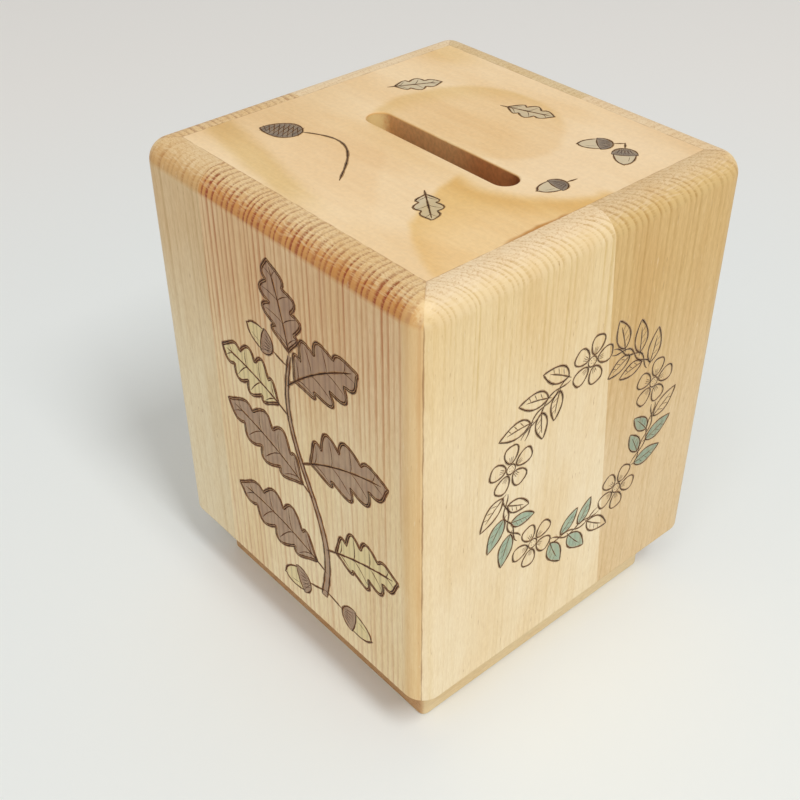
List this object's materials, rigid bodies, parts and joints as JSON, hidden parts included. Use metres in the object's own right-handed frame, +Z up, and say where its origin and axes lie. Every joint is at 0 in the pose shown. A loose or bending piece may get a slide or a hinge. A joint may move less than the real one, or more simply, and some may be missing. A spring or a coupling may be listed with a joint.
{
  "type": "wooden money box",
  "caption": "Square pine coin bank with mitred, rounded walls, a flush lid with a round-ended coin slot, and an inset base screwed on from below.",
  "frame": {"origin": "middle of the base's underside, on the surface that the box stands on", "axes": "+Z up, the front wall faces -Y and the right wall faces +X, with the coin slot along X"},
  "size_m": [0.105, 0.105, 0.138],
  "materials": {
    "pale_pine": "sanded pale sapwood, clear oil",
    "red_pine": "sanded reddish heartwood, clear oil",
    "golden_pine": "sanded golden pine, clear oil",
    "lid_pine": "sanded flat-sawn pine, clear oil",
    "base_pine": "sanded pine, clear oil",
    "block_pine": "bare sawn pine",
    "screw_zinc": "zinc plated"
  },
  "bodies": {
    "base": {"base_block": "base_pine"},
    "box": {"front_wall_left_stave": "pale_pine", "front_wall_right_stave": "red_pine", "right_wall_left_stave": "pale_pine", "right_wall_right_stave": "golden_pine", "back_wall_left_stave": "pale_pine", "back_wall_right_stave": "golden_pine", "left_wall_left_stave": "pale_pine", "left_wall_right_stave": "red_pine", "lid_panel": "lid_pine", "corner_block_front_left": "block_pine", "corner_block_front_right": "block_pine", "corner_block_back_right": "block_pine", "corner_block_back_left": "block_pine"},
    "base_screw_front_left": {"base_screw_front_left": "screw_zinc"},
    "base_screw_front_right": {"base_screw_front_right": "screw_zinc"},
    "base_screw_back_right": {"base_screw_back_right": "screw_zinc"},
    "base_screw_back_left": {"base_screw_back_left": "screw_zinc"}
  },
  "joints": [
    {"name": "box_lift", "type": "slide", "parent": "base", "child": "box", "axis": [0, 0, 1], "range_m": [0, 0.06]},
    {"name": "base_screw_front_left_out", "type": "slide", "parent": "base", "child": "base_screw_front_left", "axis": [0, 0, -1], "range_m": [0, 0.045]},
    {"name": "base_screw_front_right_out", "type": "slide", "parent": "base", "child": "base_screw_front_right", "axis": [0, 0, -1], "range_m": [0, 0.045]},
    {"name": "base_screw_back_right_out", "type": "slide", "parent": "base", "child": "base_screw_back_right", "axis": [0, 0, -1], "range_m": [0, 0.045]},
    {"name": "base_screw_back_left_out", "type": "slide", "parent": "base", "child": "base_screw_back_left", "axis": [0, 0, -1], "range_m": [0, 0.045]}
  ]
}
